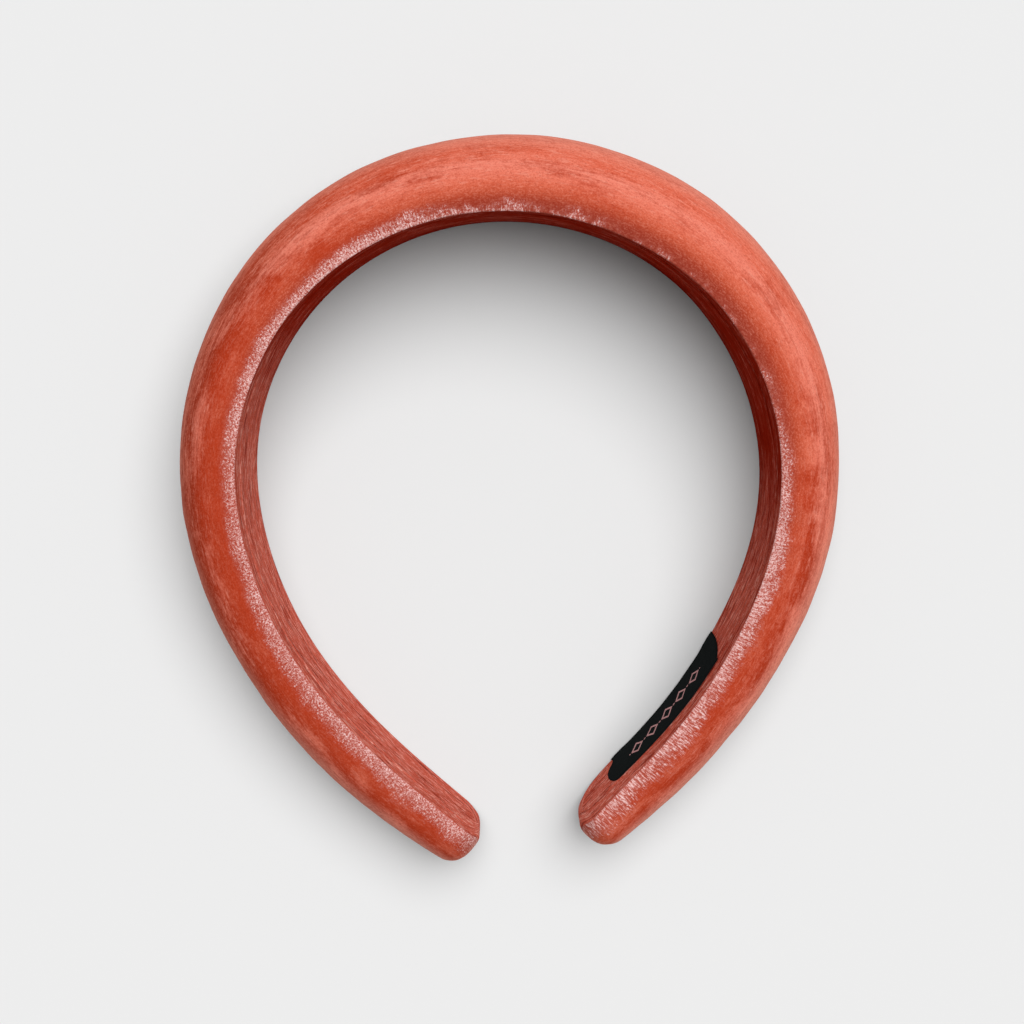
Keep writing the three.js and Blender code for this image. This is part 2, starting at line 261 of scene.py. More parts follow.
def dome_points(side, arc, angle):
    """Depth and height on the pad, from +90 degrees at the upper edge to -90 at the lower."""
    end = SIDES[side]["end"]
    centre, up, low, top, bottom = section(side, arc)
    base = bottom + edge_radius(side, arc, top, bottom)
    outward, sideways = superellipse(angle)
    along, across = side * arc, angle * 16
    bulge = 0.055 * SWELL(along, across) + 0.02 * DIMPLE(along, across)
    fade = np.power(np.clip(np.cos(angle), 0, 1), 0.7) * smooth(end, end - 9, arc)
    # cloth gathered round the tip
    near_tip = smooth(end - 9, end - 2.5, arc) * smooth(end + 0.1, end - 1.5, arc)
    top = top + bulge * fade + 0.10 * GATHER(0, angle * 11) * near_tip
    depth = base + (top - base) * outward + upper_lean(side, arc) * smooth(0.9, 1.5, angle)
    return depth, centre + np.where(sideways >= 0, up, low) * sideways


# Points across the cover: each turned-under hem, each fold, and the dome between
HEM_POINTS, FOLD_POINTS, DOME_POINTS = 12, 7, 92
HEM_SHARES = np.linspace(0, 1, HEM_POINTS)[None, :]
FOLD_ANGLES = np.linspace(0, math.pi / 2, FOLD_POINTS + 2)[1:-1][None, :]
# closer together near both edges of the dome
_u = np.linspace(-1, 1, DOME_POINTS)
DOME_ANGLES = -math.pi / 2 * np.sign(_u) * (1 - np.power(1 - np.abs(_u), 1.25)) * 0.9985


def lining_half(side, arc):
    """Half width of the lining strip: a constant share of the band, rounded off at its end."""
    end = SIDES[side]["end"] - LINING_GAP
    close = np.where(arc < end, rounding(np.minimum(arc, end), end, 4.0, 2.2), 0.0)
    return LINING_SHARE * half_width(arc) * close


def cover_outline(side, arc):
    """Depths and heights (stations, points) from the upper hem over the dome to the lower."""
    arc = arc[:, None]
    end = SIDES[side]["end"]
    centre, up, low, top, bottom = section(side, arc)
    radius = edge_radius(side, arc, top, bottom)
    radius_w = np.minimum(radius, np.minimum(up, low) * 0.42)
    along = side * arc
    fade = smooth(end, end - 8, arc)
    lined = lining_half(side, arc)
    bead = 1 + 0.10 * fade
    wander_up, wander_low = (
        0.09 * CREASE_WANDER(along, sign * 5.0) + 0.04 * CREASE_FINE(along, sign * 3.0)
        for sign in (1, -1))

    def hem(sign, half):
        share = HEM_SHARES
        start = np.minimum(lined * 0.93, (half - radius_w) * 0.9)
        start = np.maximum(start - sign * centre * (lined > 0), 0)
        out = start + (half - radius_w - start) * share
        # the hem dips only where the lining covers it
        covered = smooth(0.16, 0.0, share) * np.clip(lined / 3, 0, 1)
        covered = covered * smooth(end - 4, end - 12, arc)
        ripple = 0.035 * LINING_WAVE(along, sign * out * 1.2 + 3)
        ripple = ripple * smooth(0.0, 0.3, share) * smooth(1.0, 0.8, share)
        # a soft ridge marks the cloth turning back over the hoop
        ridge = 0.06 * np.exp(-((share - 0.86) / 0.12) ** 2)
        return bottom + 0.40 * covered + fade * (ripple - ridge), centre + sign * out

    def fold(sign, half, wander):
        sine = np.sin(FOLD_ANGLES)
        out = half - radius_w + radius_w * sine * bead + wander * fade * sine
        return bottom + radius - radius * np.cos(FOLD_ANGLES) * bead, centre + sign * out

    lean = upper_lean(side, arc)
    angle = DOME_ANGLES[None, :] * np.ones_like(arc)
    dome_depth, dome_height = dome_points(side, arc, angle)
    dome_height = dome_height + fade * (
        smooth(0.75, 1.5, angle) * (wander_up + 0.10 * radius_w)
        - smooth(-0.75, -1.5, angle) * (wander_low + 0.10 * radius_w))
    hem_depth, hem_height = hem(1, up)
    fold_depth, fold_height = fold(1, up, wander_up)
    low_fold, low_hem = fold(-1, low, wander_low), hem(-1, low)
    depth = [hem_depth + lean * smooth(0.0, 1.0, HEM_SHARES), fold_depth + lean, dome_depth,
             low_fold[0][:, ::-1], low_hem[0][:, ::-1]]
    height = [hem_height, fold_height, dome_height, low_fold[1][:, ::-1], low_hem[1][:, ::-1]]
    return np.concatenate(depth, 1), np.concatenate(height, 1)


def settle(points, softness=0.12, reach=1.2):
    """The lower edge gives softly where it lies on the surface."""
    z = points[..., 2]
    pressed = softness * np.log1p(np.exp(np.clip(z, -5, reach) / softness))
    points[..., 2] = np.where(z > reach, z, pressed)
    return points


# ---------------------------------------------------------------------------
# Mesh building
# ---------------------------------------------------------------------------
def make_object(name, points, faces, rest, sharp=()):
    """A smooth mesh object from points in mm, wound so that its normals face outward."""
    mesh = bpy.data.meshes.new(name)
    mesh.from_pydata([tuple(v) for v in (points * MM)], [], faces)
    if sharp:
        ends = np.empty(len(mesh.edges) * 2, np.int32)
        mesh.edges.foreach_get("vertices", ends)
        ends = np.sort(ends.reshape(-1, 2).astype(np.int64), axis=1)
        wanted = np.sort(np.array(sharp, np.int64), axis=1)
        # one number per vertex pair
        ends, wanted = (pairs[:, 0] * 10_000_000 + pairs[:, 1] for pairs in (ends, wanted))
        mark = mesh.attributes.new("sharp_edge", "BOOLEAN", "EDGE")
        mark.data.foreach_set("value", np.isin(ends, wanted))
    attribute = mesh.attributes.new("rest", "FLOAT_VECTOR", "POINT")
    attribute.data.foreach_set("vector", np.asarray(rest, np.float32).ravel())
    mesh.polygons.foreach_set("use_smooth", [True] * len(mesh.polygons))
    mesh.update()
    obj = bpy.data.objects.new(name, mesh)
    bpy.context.scene.collection.objects.link(obj)
    face_outward(mesh)
    return obj


def face_outward(mesh):
    """Flips the mesh if its signed volume is negative."""
    mesh.calc_loop_triangles()
    points = np.empty(len(mesh.vertices) * 3)
    mesh.vertices.foreach_get("co", points)
    points = points.reshape(-1, 3)
    corners = np.empty(len(mesh.loop_triangles) * 3, np.int32)
    mesh.loop_triangles.foreach_get("vertices", corners)
    first, second, third = points[corners].reshape(-1, 3, 3).transpose(1, 0, 2)
    if np.einsum("ij,ij->i", first, np.cross(second, third)).sum() < 0:
        mesh.flip_normals()


def grid_faces(rows, count, offset=0, closed=False):
    """Quads between rows of count points; closed joins each row's end to its start."""
    i = np.arange(rows - 1)[:, None] * count
    j = np.arange(count if closed else count - 1)[None, :]
    k = (j + 1) % count
    quads = np.stack([i + j, i + count + j, i + count + k, i + k], -1)
    return (quads.reshape(-1, 4) + offset).tolist()


def two_skins(rows, count):
    """Faces of two facing grids, the second following the first in the vertex list."""
    inner = grid_faces(rows, count, rows * count)
    return grid_faces(rows, count) + [face[::-1] for face in inner]


def run_across(points):
    """Distance along each row of points from its first."""
    steps = np.linalg.norm(np.diff(points, axis=1), axis=2)
    return np.concatenate([np.zeros((len(points), 1)), np.cumsum(steps, 1)], 1)


def build_cover(name, side, arc):
    """A length of the cover: an outer skin, an inner one, and walls along all its rims."""
    depth, height = cover_outline(side, arc)
    rows, count = depth.shape
    outer = settle(place(side, arc[:, None], depth, height))
    # inside of the cloth: every section shrunk about its own middle by one wall
    centre, up, low, top, bottom = section(side, arc[:, None])
    middle, half_depth = (top + bottom) / 2, np.maximum((top - bottom) / 2, 1e-3)
    shrink = lambda half: 1 - WALL / np.maximum(half, WALL * 1.6)
    shrink_w = np.where(height >= centre, shrink(up), shrink(low))
    inner = place(side, arc[:, None], middle + (depth - middle) * shrink(half_depth),
                  centre + (height - centre) * shrink_w)
    inner[..., 2] = np.maximum(inner[..., 2], np.minimum(0.5, outer[..., 2] + 0.4))

    base = rows * count
    faces, sharp = two_skins(rows, count), []
    for i in range(rows - 1):  # walls along the hems
        a, b = i * count, (i + 1) * count
        faces.append([a, base + a, base + b, b])
        sharp += [(a, b), (base + a, base + b)]
        a, b = a + count - 1, b + count - 1
        faces.append([a, b, base + b, base + a])
        sharp += [(a, b), (base + a, base + b)]
    for i in (0, rows - 1):  # rims at both ends of the piece
        for a in range(i * count, i * count + count - 1):
            face = [a, a + 1, base + a + 1, base + a]
            faces.append(face[::-1] if i else face)
            sharp += [(a, a + 1), (base + a, base + a + 1)]

    # rest: mm along the band, across the skin from the upper crease, and from the nearer
    # crease, negative on the head side
    run = run_across(outer)
    crease = HEM_POINTS + FOLD_POINTS // 2
    across = run - run[:, [crease]]
    far = run[:, [count - 1 - crease]] - run
    edge = np.where(far < 0, far, np.where(across < 0, across, np.minimum(across, far)))
    rest = np.stack([side * arc[:, None] * np.ones_like(across), across, edge], -1)
    rest = rest.reshape(-1, 3)
    points = np.concatenate([outer.reshape(-1, 3), inner.reshape(-1, 3)])
    return make_object(name, points, faces, np.concatenate([rest, rest]), sharp)


def build_sweep(name, side, arc, loop, head_side=False):
    """A capped solid; loop gives the depths and heights running round each section."""
    arc = arc[:, None]
    depth, height = loop(side, arc)
    rows, count = depth.shape
    grid = place(side, arc, depth, height)
    faces = grid_faces(rows, count, closed=True)
    cap, last = rows * count, (rows - 1) * count
    sharp = []
    for j in range(count):
        k = (j + 1) % count
        faces.append([cap, j, k])
        faces.append([cap + 1, last + k, last + j])
        sharp += [(j, k), (last + j, last + k)]
    if head_side:  # the cover's layout: height from the upper edge, and an edge below zero
        across, third = height - half_width(arc), np.full_like(height, -1.0)
    else:
        across, third = run_across(grid), height
    rest = np.stack([side * arc * np.ones_like(across), across, third], -1).reshape(-1, 3)
    points = np.concatenate([grid.reshape(-1, 3), grid[0].mean(0)[None], grid[-1].mean(0)[None]])
    return make_object(name, points, faces, np.concatenate([rest, rest[:1], rest[-1:]]), sharp)


# ---------------------------------------------------------------------------
# Shader helpers
# ---------------------------------------------------------------------------
class Value:
    """A shader output; each arithmetic operator on it makes one math node."""

    def __init__(self, shader, socket):
        self.shader, self.socket = shader, socket

    def __add__(self, other):
        return self.shader.math("ADD", self, other)

    def __radd__(self, other):
        return self.shader.math("ADD", other, self)

    def __sub__(self, other):
        return self.shader.math("SUBTRACT", self, other)

    def __rsub__(self, other):
        return self.shader.math("SUBTRACT", other, self)

    def __mul__(self, other):
        return self.shader.math("MULTIPLY", self, other)

    def __truediv__(self, other):
        return self.shader.math("DIVIDE", self, other)


def clamped(value):
    """Clamps the math node that made this value to 0..1."""
    value.socket.node.use_clamp = True
    return value


def swing(noise, gain):
    """A noise centred on zero."""
    return (noise - 0.5) * gain


def srgb(*channels):
    """Linear colour from 0..255 sRGB channels."""
    shares = [channel / 255 for channel in channels]
    return tuple(c / 12.92 if c <= 0.04045 else ((c + 0.055) / 1.055) ** 2.4 for c in shares)


class Shader:
    def __init__(self, name):
        self.material = bpy.data.materials.new(name)
        self.material.use_nodes = True
        self.tree = self.material.node_tree
        self.tree.nodes.clear()

    def node(self, kind, inputs=None, **settings):
        """A node; inputs maps socket names or numbers to values."""
        node = self.tree.nodes.new(kind)
        for key, value in settings.items():
            setattr(node, key, value)
        for key, value in (inputs or {}).items():
            self.put(node.inputs[key], value)
        return node

    def put(self, socket, value):
        """Links or sets an input; a tuple is a colour, and None leaves the default."""
        if isinstance(value, Value):
            self.tree.links.new(value.socket, socket)
        elif isinstance(value, tuple):
            socket.default_value = (*value, 1)
        elif value is not None:
            socket.default_value = value

    def output(self, kind, inputs=None, out=0, **settings):
        return Value(self, self.node(kind, inputs, **settings).outputs[out])

    def math(self, operation, *values):
        return self.output("ShaderNodeMath", dict(enumerate(values)), operation=operation)

    def combine(self, *values):
        return self.output("ShaderNodeCombineXYZ", dict(enumerate(values)))

    def rest(self):
        """The mesh's rest coordinates, as a vector split in three."""
        vector = self.output("ShaderNodeAttribute", out="Vector", attribute_name="rest",
                             attribute_type="GEOMETRY")
        split = self.node("ShaderNodeSeparateXYZ", {0: vector})
        return [Value(self, socket) for socket in split.outputs]

    def noise(self, vector, scale, detail, rough, distortion=0.0):
        inputs = {"Vector": vector, "Scale": scale, "Detail": detail, "Roughness": rough,
                  "Distortion": distortion}
        return self.output("ShaderNodeTexNoise", inputs, noise_dimensions="3D")

    def ramp(self, position, stops):
        """Linear ramp through (position, colour or number) stops."""
        node = self.node("ShaderNodeValToRGB", {0: position})
        ramp = node.color_ramp
        ramp.interpolation = "LINEAR"
        while len(ramp.elements) < len(stops):
            ramp.elements.new(0.5)
        for element, (place_, level) in zip(ramp.elements, stops):
            element.position = place_
            element.color = (*level, 1) if isinstance(level, tuple) else (level,) * 3 + (1,)
        return Value(self, node.outputs[0])

    def fade(self, value, span, to=(0.0, 1.0), kind="SMOOTHSTEP"):
        """Moves between the two levels of to as the value crosses the span."""
        inputs = {"Value": value, "From Min": span[0], "From Max": span[1],
                  "To Min": to[0], "To Max": to[1]}
        return self.output("ShaderNodeMapRange", inputs, interpolation_type=kind)

    def mix(self, share, first, second):
        return self.output("ShaderNodeMix", {0: share, 6: first, 7: second}, out=2,
                           data_type="RGBA", blend_type="MIX")

    def bump(self, height, strength, distance):
        return self.output("ShaderNodeBump", {"Strength": strength, "Distance": distance,
                                              "Height": height})

    def finish(self, colour, rough, normal=None, specular=None):
        surface = self.output("ShaderNodeBsdfPrincipled", {
            "Base Color": colour, "Roughness": rough, "Normal": normal,
            "Specular IOR Level": specular})
        self.node("ShaderNodeOutputMaterial", {"Surface": surface})
        return self.material


# ---------------------------------------------------------------------------
# Velvet
# ---------------------------------------------------------------------------
# Noise patterns: frequency along and across the band (1/mm), seed, detail, roughness, distortion
CLOTH = dict(
    cloud=(0.075, 0.17, 3.1, 3.0, 0.6, 0.5),
    streaks=(0.11, 1.1, 7.7, 4.0, 0.62, 0.5),
    hairs=(0.42, 2.2, 1.3, 2.0, 0.6, 0.3),
    mottle=(0.80, 0.95, 4.2, 4.0, 0.70, 0.3),
    grain=(2.9, 3.0, 0.4, 3.0, 0.8, 0.0),
    linen=(0.9, 2.8, 6.1, 2.0, 0.7, 0.0),
    pile=(5.2, 5.2, 5.0, 1.0, 0.6, 0.0),
    bars=(0.26, 0.035, 8.8, 2.0, 0.5, 0.0),
    patch=(0.15, 0.12, 9.0, 3.0, 0.7, 0.0),
    flakes=(2.5, 2.3, 2.0, 3.0, 0.88, 0.6),
    strokes=(3.0, 0.50, 6.0, 2.0, 0.68, 0.6))

# Nap brushed down (deep) and up (light): (mm from the nearer edge, sRGB)
NAP_SPAN = 30.0
DEEP_NAP = [
    (0, (168, 68, 52)), (2.4, (176, 68, 48)), (4, (184, 62, 34)), (6, (184, 62, 34)),
    (8, (178, 56, 28)), (10.5, (170, 54, 28)), (13, (168, 60, 38)), (16, (174, 72, 52)),
    (30, (172, 68, 46))]
LIGHT_NAP = [
    (0, (158, 66, 52)), (2.4, (174, 68, 48)), (4, (194, 82, 56)), (6, (212, 99, 73)),
    (8, (224, 115, 92)), (10.5, (231, 127, 106)), (13, (226, 117, 94)), (16, (220, 110, 86)),
    (30, (200, 92, 70))]

# Amounts that change along the band: (mm from the left leg, below 0, to the right leg, amount)
ALONG = dict(
    # share of nap brushed up
    lay=[(-190, 0.14), (-150, 0.10), (-110, 0.0), (-80, 0.20), (-50, 0.34), (-22, 0.74),
         (10, 1.0), (60, 0.95), (84, 0.80), (102, 0.62), (120, 0.40), (142, 0.20),
         (165, 0.24), (190, 0.42)],
    # painted shade and dark streaks on the outer shoulder of the pad, the shade deepest on the
    # left, turned from the key light
    shade_and_streaks=[(-190, 0.0), (-145, 0.05), (-105, 0.60), (-80, 1.0), (-48, 0.85), (-22, 0.28),
          (0, 0.16), (40, 0.24), (80, 0.14), (108, 0.0), (190, 0.0)],
    # redder, brushed band on the crown
    swept=[(-60, 0.0), (-30, 0.8), (0, 0.75), (45, 0.7), (80, 0.45), (110, 0.0)],
    # painted sheen on the outer side of the pad, and where across the pad it turns (20 mm units)
    pale=[(-190, 0.60), (-150, 0.46), (-125, 0.20), (-100, 0.0), (-30, 0.0), (0, 0.24),
          (40, 0.26), (70, 0.18), (95, 0.20), (112, 0.50), (135, 0.62), (190, 0.72)],
    turn=[(-190, 0.33), (-150, 0.39), (-120, 0.46), (-60, 0.66), (60, 0.66), (95, 0.52),
          (120, 0.46), (150, 0.39), (190, 0.31)],
    # darkening beside the edges of the crown
    shade=[(-60, 0.0), (-35, 0.10), (-12, 0.34), (30, 0.34), (75, 0.22), (100, 0.0)],
    # pale splayed fibre tips beside the edges, with a painted highlight strongest where they face
    # the key light: overall amount, whiteness, reach from the edge, patchiness and share of strokes
    fibre_glint=[(-190, 0.95), (-150, 0.92), (-118, 0.90), (-88, 0.88), (-50, 1.0), (-28, 0.90),
           (-14, 0.55), (12, 0.42), (34, 0.12), (66, 0.10), (84, 0.50), (108, 1.0),
           (150, 1.0), (190, 0.95)],
    snow=[(-190, 0.38), (-120, 0.38), (-88, 0.37), (-62, 0.50), (-28, 0.62), (-12, 0.56),
          (14, 0.52), (40, 0.40), (80, 0.34), (104, 0.56), (150, 0.46), (190, 0.32)],
    reach=[(-190, 0.39), (-150, 0.32), (-118, 0.23), (-88, 0.21), (-50, 0.22), (-20, 0.23),
           (10, 0.19), (60, 0.14), (100, 0.24), (120, 0.33), (150, 0.35), (190, 0.41)],
    clumps=[(-190, 0.30), (-30, 0.32), (-10, 0.85), (40, 0.85), (80, 0.45), (110, 0.30),
            (190, 0.30)],
    stroked=[(-190, 0.40), (-120, 0.25), (-60, 0.12), (-28, 0.45), (0, 0.60), (40, 0.60),
             (70, 0.15), (100, 0.25), (130, 0.70), (165, 1.0), (190, 1.0)],
    # paler nap on the head side of the legs
    open_leg=[(-190, 1.0), (-100, 0.95), (-70, 0.72), (-56, 0.12), (-30, 0.0), (0, 0.1),
              (30, 0.0), (90, 0.0), (112, 0.62), (135, 0.70), (160, 0.75), (190, 1.0)])

# sRGB colours laid over the nap, and on the head side; among them painted shade on the outer
# shoulder, painted sheens and a painted highlight on the fibre tips
TINT = {name: srgb(*colour) for name, colour in dict(
    shade_and_streaks=(116, 40, 26), streak=(190, 62, 36), shaded_streak=(138, 38, 18), swept=(206, 80, 50),
    pale=(250, 168, 148), hair=(232, 146, 126), linen=(240, 150, 128),
    grain=(240, 146, 122), grain_pit=(146, 40, 20), shade=(110, 24, 12),
    veil_deep=(172, 66, 50), veil_light=(216, 130, 117), fibre_glint=(249, 214, 211),
    face=(152, 30, 10), face_open=(212, 96, 76), face_hair=(166, 34, 16),
    face_hair_open=(250, 176, 160), face_streak=(126, 22, 8), face_pit=(132, 30, 14),
    face_grain=(238, 160, 146), grazing_sheen=(226, 150, 132)).items()}
BOUNCED = (0.17, 0.16, 0.155)  # linear colour met by light that has already bounced


class Velvet(Shader):
    """Crushed-pile velvet, laid out in the rest coordinates so it stays put as the band flexes."""

    def __init__(self, name):
        super().__init__(name)
        self.arc, self.across, self.edge = self.rest()
        self.cloth = SimpleNamespace(**{key: self.pattern(*row) for key, row in CLOTH.items()})

    def pattern(self, along, across, seed, *texture):
        vector = self.combine(self.arc * along, self.across * across, seed)
        return self.noise(vector, 1.0, *texture)

    def along(self, name):
        position = self.fade(self.arc, (-200.0, 200.0), kind="LINEAR")
        return self.ramp(position, [((x + 200) / 400, level) for x, level in ALONG[name]])

    def nap(self, stops):
        return self.ramp(self.edge / NAP_SPAN, [(x / NAP_SPAN, srgb(*c)) for x, c in stops])

    def brushed_nap(self, outer):
        """Base colour of the dome, and how far the nap is brushed up."""
        fade, edge, cloth = self.fade, self.edge, self.cloth
        deep, light = self.nap(DEEP_NAP), self.nap(LIGHT_NAP)
        bar_zone = (fade(self.arc, (56, 84)) * fade(self.arc, (126, 100))
                    * (fade(edge, (1.5, 4.5)) * fade(edge, (11.5, 8.0))))
        lay = self.along("lay") + swing(cloth.cloud, 3.0)
        lay = lay + swing(cloth.streaks, 2.0) * fade(outer, (0, 1), to=(0.40, 1.0), kind="LINEAR")
        lay = lay + swing(cloth.mottle, 1.35)
        lay = clamped(lay + swing(cloth.bars, 2.4) * bar_zone)
        return self.mix(lay, deep, light), lay

    def brush_marks(self, dome, outer):
        """Dark streaks with painted shade on the outer shoulder, the crown's redder band and a
        painted sheen on the paler far side.
        """
        fade, mix, edge, cloth = self.fade, self.mix, self.edge, self.cloth
        # painted shade on the outer shoulder, deepest on the left leg where it faces away from the
        # key light; the dark streaks grow with it
        shade_and_streaks = self.along("shade_and_streaks") * fade(edge, (21.5, 17.5), to=(0.30, 1.0))
        dome = mix(shade_and_streaks * 0.26 * fade(edge, (8.5, 13.0)), dome, TINT["shade_and_streaks"])
        streak = (fade(cloth.streaks, (0.52, 0.34), to=(0.0, 0.75))
                  * fade(cloth.mottle, (0.64, 0.40), to=(0.25, 1.0)) * outer)
        dome = mix(streak * (shade_and_streaks * 0.80 + 0.12), dome,
                   mix(shade_and_streaks, TINT["streak"], TINT["shaded_streak"]))
        swept = fade(edge, (10.5, 13.5)) * fade(edge, (19.0, 15.5)) * self.along("swept")
        dome = mix(swept * fade(cloth.streaks, (0.64, 0.42), to=(0.0, 0.75)), dome, TINT["swept"])
        # painted sheen: the far side of the pad made paler beyond the turn
        turn = self.along("turn") * 20.0
        far = (edge - 0.7) - (turn + swing(cloth.mottle, 3.5))
        ruffle = clamped(0.82 + (swing(cloth.mottle, 1.7) + swing(cloth.linen, 1.5)))
        beyond = fade(far, (0.0, 4.5)) * fade(edge - turn, (12.5, 8.0), to=(0.34, 1.0))
        return mix(self.along("pale") * ruffle * beyond, dome, TINT["pale"])

    def fibre_ends(self, dome, lay, outer):
        """Pale hairs, weave and grain, darker pits, and shade beside the crown's edges."""
        fade, mix, edge, cloth = self.fade, self.mix, self.edge, self.cloth
        hairs = fade(cloth.hairs, (0.54, 0.70), to=(0.0, 0.50)) * fade(edge, (3, 9))
        dome = mix(hairs * fade(lay, (0.0, 0.5), to=(0.45, 1.0)), dome, TINT["hair"])
        raised = clamped(lay * 0.62 + (0.38 + outer * 0.2))
        linen = fade(cloth.linen, (0.50, 0.66), to=(0.0, 0.25))
        dome = mix(raised * linen, dome, TINT["linen"])
        grain = fade(cloth.grain, (0.50, 0.70), to=(0.0, 0.42))
        dome = mix(raised * grain, dome, TINT["grain"])
        dome = mix(fade(cloth.grain, (0.50, 0.30), to=(0.0, 0.46)), dome, TINT["grain_pit"])
        return mix(self.along("shade") * fade(edge, (5.8, 0.8)), dome, TINT["shade"])

    def fibre_glint(self, dome):
        """Pale splayed fibre ends beside the edges, with a painted highlight strongest where they
        face the key light, thin on the right shoulder; also their amount.
        """
        fade, mix, edge, cloth = self.fade, self.mix, self.edge, self.cloth
        stroked = self.along("stroked")
        fibre = (swing(cloth.flakes, 1.0) * (1.75 - stroked * 1.10)
                 + swing(cloth.strokes, 1.0) * stroked)
        uneven = swing(cloth.patch, 15.0) + (swing(cloth.mottle, 9.0) + fibre * 8.0)
        reach = self.along("reach") * (11.0 + uneven)
        depth = edge / self.math("MAXIMUM", reach, 0.05)
        amount = self.along("fibre_glint") + swing(cloth.patch, 1.0) * (self.along("clumps") * 5.0)
        near = clamped(fade(depth, (1.45, -0.15)) * fade(edge, (-0.22, 0.0)) * amount)
        veil = mix(fade(fibre, (-0.26, 0.20)), TINT["veil_deep"], TINT["veil_light"])
        dome = mix(near * 0.90, dome, veil)
        tufts = clamped(fibre * 4.4 + (near * 0.55 + (self.along("snow") - 0.68)))
        return mix(tufts * 0.92 * fade(near, (0.06, 0.42)), dome, TINT["fibre_glint"]), near

    def head_side(self):
        """Nap pressed flat, in long streaks."""
        fade, mix, cloth = self.fade, self.mix, self.cloth
        uneven = swing(cloth.cloud, 1.0) + (swing(cloth.streaks, 1.7) + swing(cloth.mottle, 0.9))
        open_leg = clamped(self.along("open_leg") + uneven)
        face = mix(open_leg, TINT["face"], TINT["face_open"])
        face = mix(fade(cloth.hairs, (0.51, 0.65), to=(0.0, 0.80)), face,
                   mix(open_leg, TINT["face_hair"], TINT["face_hair_open"]))
        face = mix(fade(cloth.streaks, (0.48, 0.34), to=(0.0, 0.78)), face, TINT["face_streak"])
        face = mix(fade(cloth.grain, (0.50, 0.32), to=(0.0, 0.45)), face, TINT["face_pit"])
        grain = fade(cloth.grain, (0.52, 0.70), to=(0.0, 0.50))
        return mix(grain * open_leg, face, TINT["face_grain"])

    def build(self):
        fade, mix, edge, cloth = self.fade, self.mix, self.edge, self.cloth
        outer = fade(edge, (6.0, 13.0))
        dome, lay = self.brushed_nap(outer)
        dome = self.brush_marks(dome, outer)
        dome = self.fibre_ends(dome, lay, outer)
        # pale fibre tips along the creases, with a painted highlight
        dome, near = self.fibre_glint(dome)
        colour = mix(fade(edge, (-0.30, 0.0)), self.head_side(), dome)
        # painted sheen: paler where the surface is seen edge-on, at a grazing view
        facing = self.output("ShaderNodeLayerWeight", {"Blend": 0.5}, out="Facing")
        patchy = fade(edge, (-0.2, 0.4)) * fade(cloth.mottle, (0.32, 0.66), to=(0.35, 1.0))
        colour = mix(fade(facing, (0.55, 1.0), to=(0.0, 0.72)) * patchy, colour, TINT["grazing_sheen"])
        # bounced light meets a grey stand-in for the dyed velvet, which keeps the floor's shade
        # beside the band grey
        bounce = self.output("ShaderNodeLightPath", out="Is Diffuse Ray")
        colour = mix(bounce * 0.85, colour, BOUNCED)
        height = cloth.grain * 0.6 + cloth.pile * 0.5 + cloth.hairs * 0.35
        height = height + cloth.strokes * near * 0.6
        normal = self.bump(height, strength=0.45, distance=0.00020)
        rough = fade(cloth.grain, (0.2, 0.8), to=(0.80, 0.96), kind="LINEAR")
        return self.finish(colour, rough, normal, specular=0.0)


# ---------------------------------------------------------------------------
# Other materials
# ---------------------------------------------------------------------------
def foam_material():
    shader = Shader("open_cell_foam")
    fade, mix = shader.fade, shader.mix
    vector = shader.combine(*shader.rest())
    cells = shader.output("ShaderNodeTexVoronoi", {"Vector": vector, "Scale": 1.7},
                          out="Distance", feature="F1")
    tone = shader.noise(vector, scale=0.12, detail=2.0, rough=0.5)
    colour = mix(fade(cells, (0.15, 0.65)), srgb(206, 192, 158), srgb(238, 228, 204))
    colour = mix(fade(tone, (0.4, 0.7), to=(0.0, 0.4)), colour, srgb(228, 205, 156))
    normal = shader.bump(cells, strength=0.6, distance=0.0003)
    return shader.finish(colour, rough=0.95, normal=normal, specular=0.1)


def plastic_material():
    """Near-black plastic with lengthwise scuffs."""
    shader = Shader("hoop_plastic")
    fade = shader.fade
    along, across, third = shader.rest()
    stretched = shader.combine(along * 0.25, across * 1.8, 0.0)
    scuff = shader.noise(stretched, scale=1.0, detail=3.0, rough=0.6)
    grain = shader.noise(shader.combine(along, across, third), scale=3.0, detail=2.0, rough=0.6)
    colour = shader.mix(fade(scuff, (0.45, 0.8), to=(0.0, 0.6)), srgb(34, 34, 37),
                        srgb(62, 62, 66))
    rough = fade(scuff, (0.3, 0.8), to=(0.34, 0.58), kind="LINEAR")
    return shader.finish(colour, rough, shader.bump(grain, strength=0.25, distance=0.00008))


WARP_PITCH, WEFT_PITCH = 0.34, 0.42
MOTIF_PITCH, MOTIF_COUNT, MOTIF_START = 5.3, 5, 7.0
MOTIF_HEIGHT = 10.4                       # middle of the row, from the label's lower edge
DIAMOND_HALF_LENGTH, DIAMOND_HALF_HEIGHT = 1.75, 2.9
DIAMOND_LINE = 0.20                       # half the outline, as a share of the diamond
DOT_RADIUS_SQUARED = 0.14


